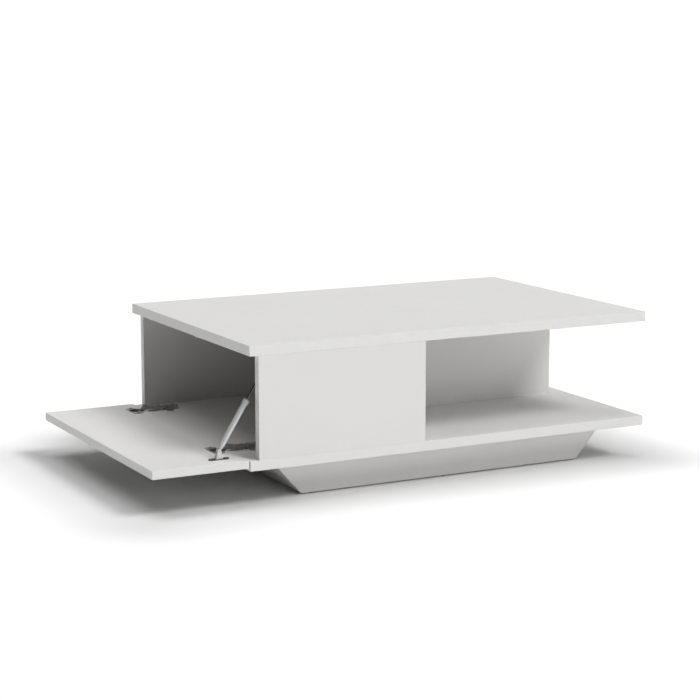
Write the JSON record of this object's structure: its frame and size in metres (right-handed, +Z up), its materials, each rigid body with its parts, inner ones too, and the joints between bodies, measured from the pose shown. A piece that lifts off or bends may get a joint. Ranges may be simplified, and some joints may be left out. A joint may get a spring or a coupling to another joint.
{
  "type": "coffee table",
  "caption": "Low rectangular coffee table with an open shelf beside a closed compartment behind a drop-down end flap on a gas strut.",
  "frame": {"origin": "middle of the plinth's footprint, on the floor", "axes": "+X along the length, away from the flap; -Y the front, where the gas strut is; +Z up"},
  "size_m": [1.22, 0.66, 0.344],
  "materials": {
    "white_board": "satin white melamine over particle board",
    "white_edge": "satin white edge strip",
    "raw_wood": "plain planed wood",
    "hinge_steel": "nickel plated, dull",
    "screw_steel": "zinc plated",
    "strut_silver": "silver paint, satin",
    "bright_steel": "polished",
    "white_plastic": "moulded, satin",
    "grey_plastic": "moulded, matte",
    "black_rubber": "matte",
    "zinc": "die cast zinc, dull"
  },
  "bodies": {
    "table_frame": {"top_board": "white_board", "top_board_edging": "white_edge", "bottom_board": "white_board", "bottom_board_edging": "white_edge", "front_panel": "white_board", "back_panel": "white_board", "divider_panel": "white_board", "spine_panel": "white_board", "panel_edging": "white_edge", "plinth_front_board": "white_board", "plinth_back_board": "white_board", "plinth_left_board": "white_board", "plinth_right_board": "white_board", "plinth_edging": "white_edge", "plinth_cross_rail": "raw_wood", "plinth_blocks": "raw_wood", "plinth_screws": "screw_steel", "floor_glides": "grey_plastic", "cam_locks": "zinc", "cam_bolts": "screw_steel", "cam_caps": "white_plastic", "base_screws": "screw_steel", "wood_dowels": "raw_wood", "hinge_mounting_plates": "hinge_steel", "hinge_arms": "hinge_steel", "hinge_arm_screws": "screw_steel", "hinge_arm_pins": "screw_steel", "mounting_plate_screws": "screw_steel", "strut_panel_plate": "hinge_steel", "strut_panel_screws": "screw_steel", "latch_housing": "white_plastic", "latch_screws": "screw_steel", "latch_spring": "bright_steel"},
    "flap": {"flap_panel": "white_board", "flap_edging": "white_edge", "hinge_cups": "hinge_steel", "hinge_cup_screws": "screw_steel", "hinge_cup_pins": "screw_steel", "strut_flap_plate": "hinge_steel", "strut_flap_screws": "screw_steel", "strut_bracket_clip": "white_plastic", "strut_clip_pin": "screw_steel"},
    "hinge_inner": {"hinge_inner_links": "hinge_steel", "hinge_link_pins": "screw_steel"},
    "hinge_outer": {"hinge_outer_links": "hinge_steel"},
    "strut_cylinder": {"strut_lower_socket": "strut_silver", "strut_tube": "strut_silver", "strut_end_cap": "strut_silver", "strut_guide_seal": "black_rubber"},
    "strut_plunger": {"strut_rod": "bright_steel", "strut_piston": "screw_steel", "strut_upper_socket": "grey_plastic", "strut_ball_stud": "screw_steel"},
    "latch_pusher": {"latch_plunger": "white_plastic", "latch_tip": "black_rubber"}
  },
  "joints": [
    {"name": "flap_hinge", "type": "hinge", "parent": "table_frame", "child": "flap", "pos_m": [-0.4925, 0.015, 0.0925], "axis": [0, 1, 0], "range_deg": [0, 90]},
    {"name": "inner_link_hinge", "type": "hinge", "parent": "table_frame", "child": "hinge_inner", "pos_m": [-0.473, 0.015, 0.1065], "axis": [0, 1, 0], "range_deg": [-0.5, 90.5]},
    {"name": "outer_link_hinge", "type": "hinge", "parent": "hinge_inner", "child": "hinge_outer", "pos_m": [-0.5045, 0.015, 0.11], "axis": [0, 1, 0], "range_deg": [-90.5, 0.5]},
    {"name": "strut_pivot", "type": "hinge", "parent": "flap", "child": "strut_cylinder", "pos_m": [-0.556, -0.293, 0.1215], "axis": [0, 1, 0], "range_deg": [-116.6, 0.5]},
    {"name": "strut_slide", "type": "slide", "parent": "strut_cylinder", "child": "strut_plunger", "axis": [0.5388, 0, 0.8425], "range_m": [-0.0654, 0.0003]},
    {"name": "latch_push", "type": "slide", "parent": "table_frame", "child": "latch_pusher", "axis": [1, 0, 0], "range_m": [0, 0.003], "stiffness_N_per_m": 300, "springref_m": -0.004, "deforming": ["latch_spring"]}
  ],
  "couplings": [
    {"joint": "inner_link_hinge", "follows": "flap_hinge", "ratio": 1},
    {"joint": "outer_link_hinge", "follows": "flap_hinge", "ratio": -1},
    {"joint": "strut_pivot", "follows": "flap_hinge", "ratio": -1.2901},
    {"joint": "strut_slide", "follows": "flap_hinge", "m_per_rad": -0.041472}
  ]
}
